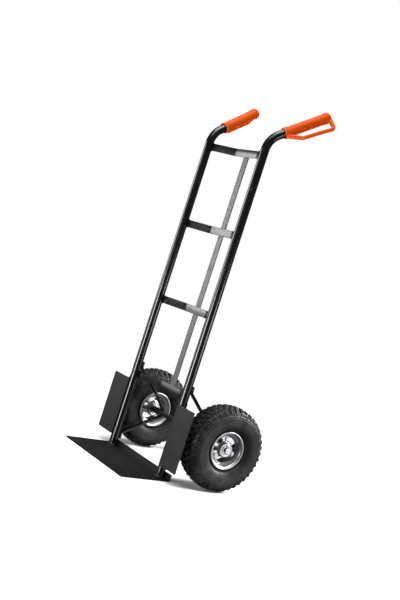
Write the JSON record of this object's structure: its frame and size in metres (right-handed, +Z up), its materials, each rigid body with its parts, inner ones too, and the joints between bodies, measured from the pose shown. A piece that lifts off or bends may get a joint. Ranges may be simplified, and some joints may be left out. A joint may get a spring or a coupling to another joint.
{
  "type": "hand truck",
  "caption": "Upright two-wheeled hand truck: bent-tube frame with recessed crossbars, flat toe plate, pneumatic wheels, wheel guards and orange handle grips with guard loops.",
  "frame": {"origin": "middle of the truck's box, on the ground that the toe plate and the tyres stand on", "axes": "+Z up; X along the axle, +X on the left of a user behind the truck; -Y towards the load and the toe plate, +Y towards the user"},
  "size_m": [0.5284, 0.4258, 1.1745],
  "materials": {
    "black_paint": "semi-gloss black powder coat",
    "charcoal_paint": "satin charcoal powder coat",
    "orange_plastic": "satin moulded plastic",
    "tyre_rubber": "matt moulded rubber",
    "inner_rubber": "smooth rubber",
    "zinc_steel": "bright zinc plate",
    "bearing_steel": "ground steel"
  },
  "bodies": {
    "frame": {"axle": "bearing_steel", "axle_bracket_left": "black_paint", "axle_bracket_right": "black_paint", "axle_spacer_left": "black_paint", "axle_spacer_right": "black_paint", "center_strap": "charcoal_paint", "cotter_pin_left": "zinc_steel", "cotter_pin_right": "zinc_steel", "crossbar_1": "black_paint", "crossbar_2": "black_paint", "crossbar_3": "black_paint", "crossbar_4": "black_paint", "grip_left": "orange_plastic", "grip_right": "orange_plastic", "toe_plate": "black_paint", "upright_left": "black_paint", "upright_right": "black_paint", "washer_inner_left": "zinc_steel", "washer_inner_right": "zinc_steel", "washer_outer_left": "zinc_steel", "washer_outer_right": "zinc_steel", "wheel_guard_left": "charcoal_paint", "wheel_guard_right": "charcoal_paint"},
    "wheel_left": {"bearing_inner_left": "bearing_steel", "bearing_outer_left": "bearing_steel", "hub_left": "zinc_steel", "inner_tube_left": "inner_rubber", "rim_bolt_1_left": "zinc_steel", "rim_bolt_2_left": "zinc_steel", "rim_bolt_3_left": "zinc_steel", "rim_inner_left": "zinc_steel", "rim_nut_1_left": "zinc_steel", "rim_nut_2_left": "zinc_steel", "rim_nut_3_left": "zinc_steel", "rim_outer_left": "zinc_steel", "tyre_left": "tyre_rubber", "valve_stem_left": "inner_rubber"},
    "wheel_right": {"bearing_inner_right": "bearing_steel", "bearing_outer_right": "bearing_steel", "hub_right": "zinc_steel", "inner_tube_right": "inner_rubber", "rim_bolt_1_right": "zinc_steel", "rim_bolt_2_right": "zinc_steel", "rim_bolt_3_right": "zinc_steel", "rim_inner_right": "zinc_steel", "rim_nut_1_right": "zinc_steel", "rim_nut_2_right": "zinc_steel", "rim_nut_3_right": "zinc_steel", "rim_outer_right": "zinc_steel", "tyre_right": "tyre_rubber", "valve_stem_right": "inner_rubber"}
  },
  "joints": [
    {"name": "wheel_left_spin", "type": "hinge", "parent": "frame", "child": "wheel_left", "pos_m": [0.218, 0.08285, 0.13], "axis": [1, 0, 0], "continuous": true},
    {"name": "wheel_right_spin", "type": "hinge", "parent": "frame", "child": "wheel_right", "pos_m": [-0.218, 0.08285, 0.13], "axis": [1, 0, 0], "continuous": true}
  ]
}
